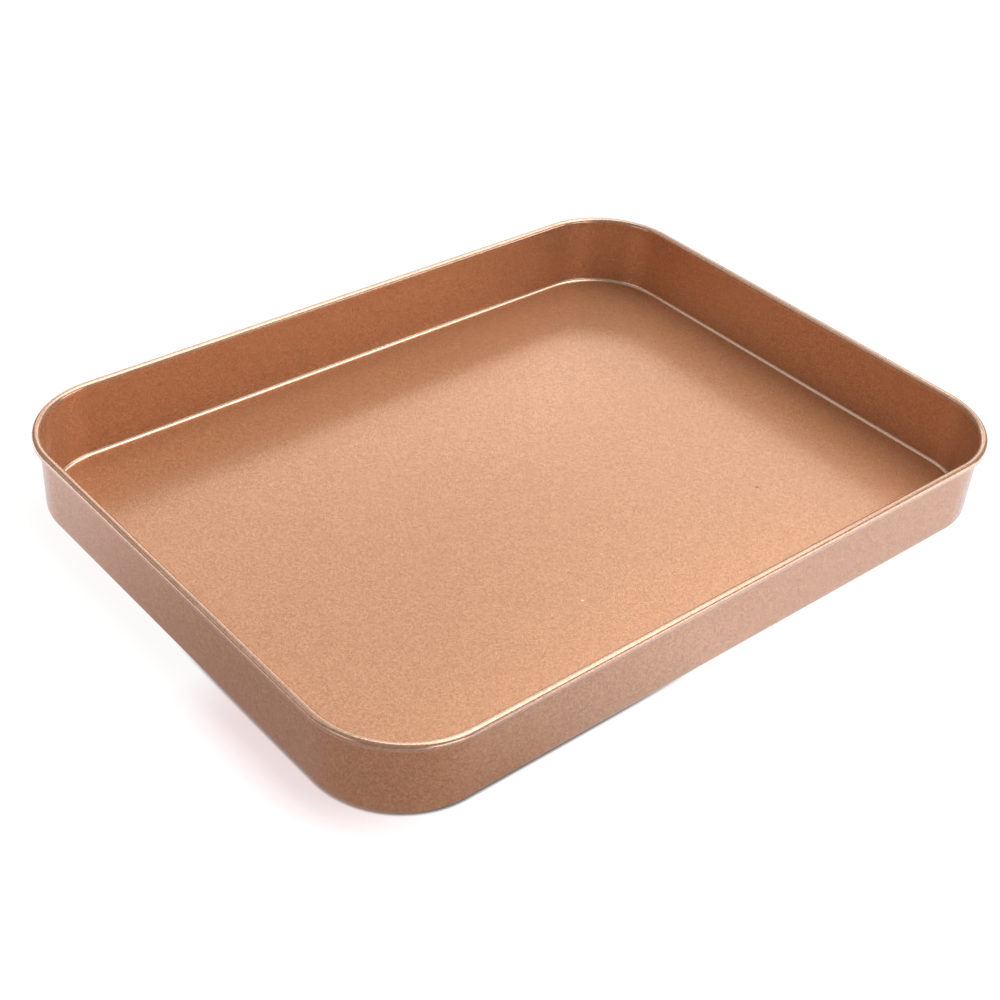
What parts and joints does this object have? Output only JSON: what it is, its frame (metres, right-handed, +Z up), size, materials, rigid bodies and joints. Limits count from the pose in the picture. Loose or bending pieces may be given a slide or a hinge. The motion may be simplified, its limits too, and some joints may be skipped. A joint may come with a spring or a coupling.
{
  "type": "rectangular cake pan",
  "caption": "Shallow rectangular cake pan with rounded corners, a flat floor, nearly upright walls and a rim curled outward around a stiffening wire.",
  "frame": {"origin": "middle of the underside, on the surface that the pan stands on", "axes": "+X along the pan's length, +Y along its width, +Z up, out of the open top"},
  "size_m": [0.245, 0.185, 0.025],
  "materials": {
    "coated_sheet": "satin champagne non-stick coating with a fine metallic grain",
    "steel_wire": "plain drawn wire"
  },
  "bodies": {
    "root": {"pan_shell": "coated_sheet", "rim_wire": "steel_wire"}
  },
  "joints": []
}
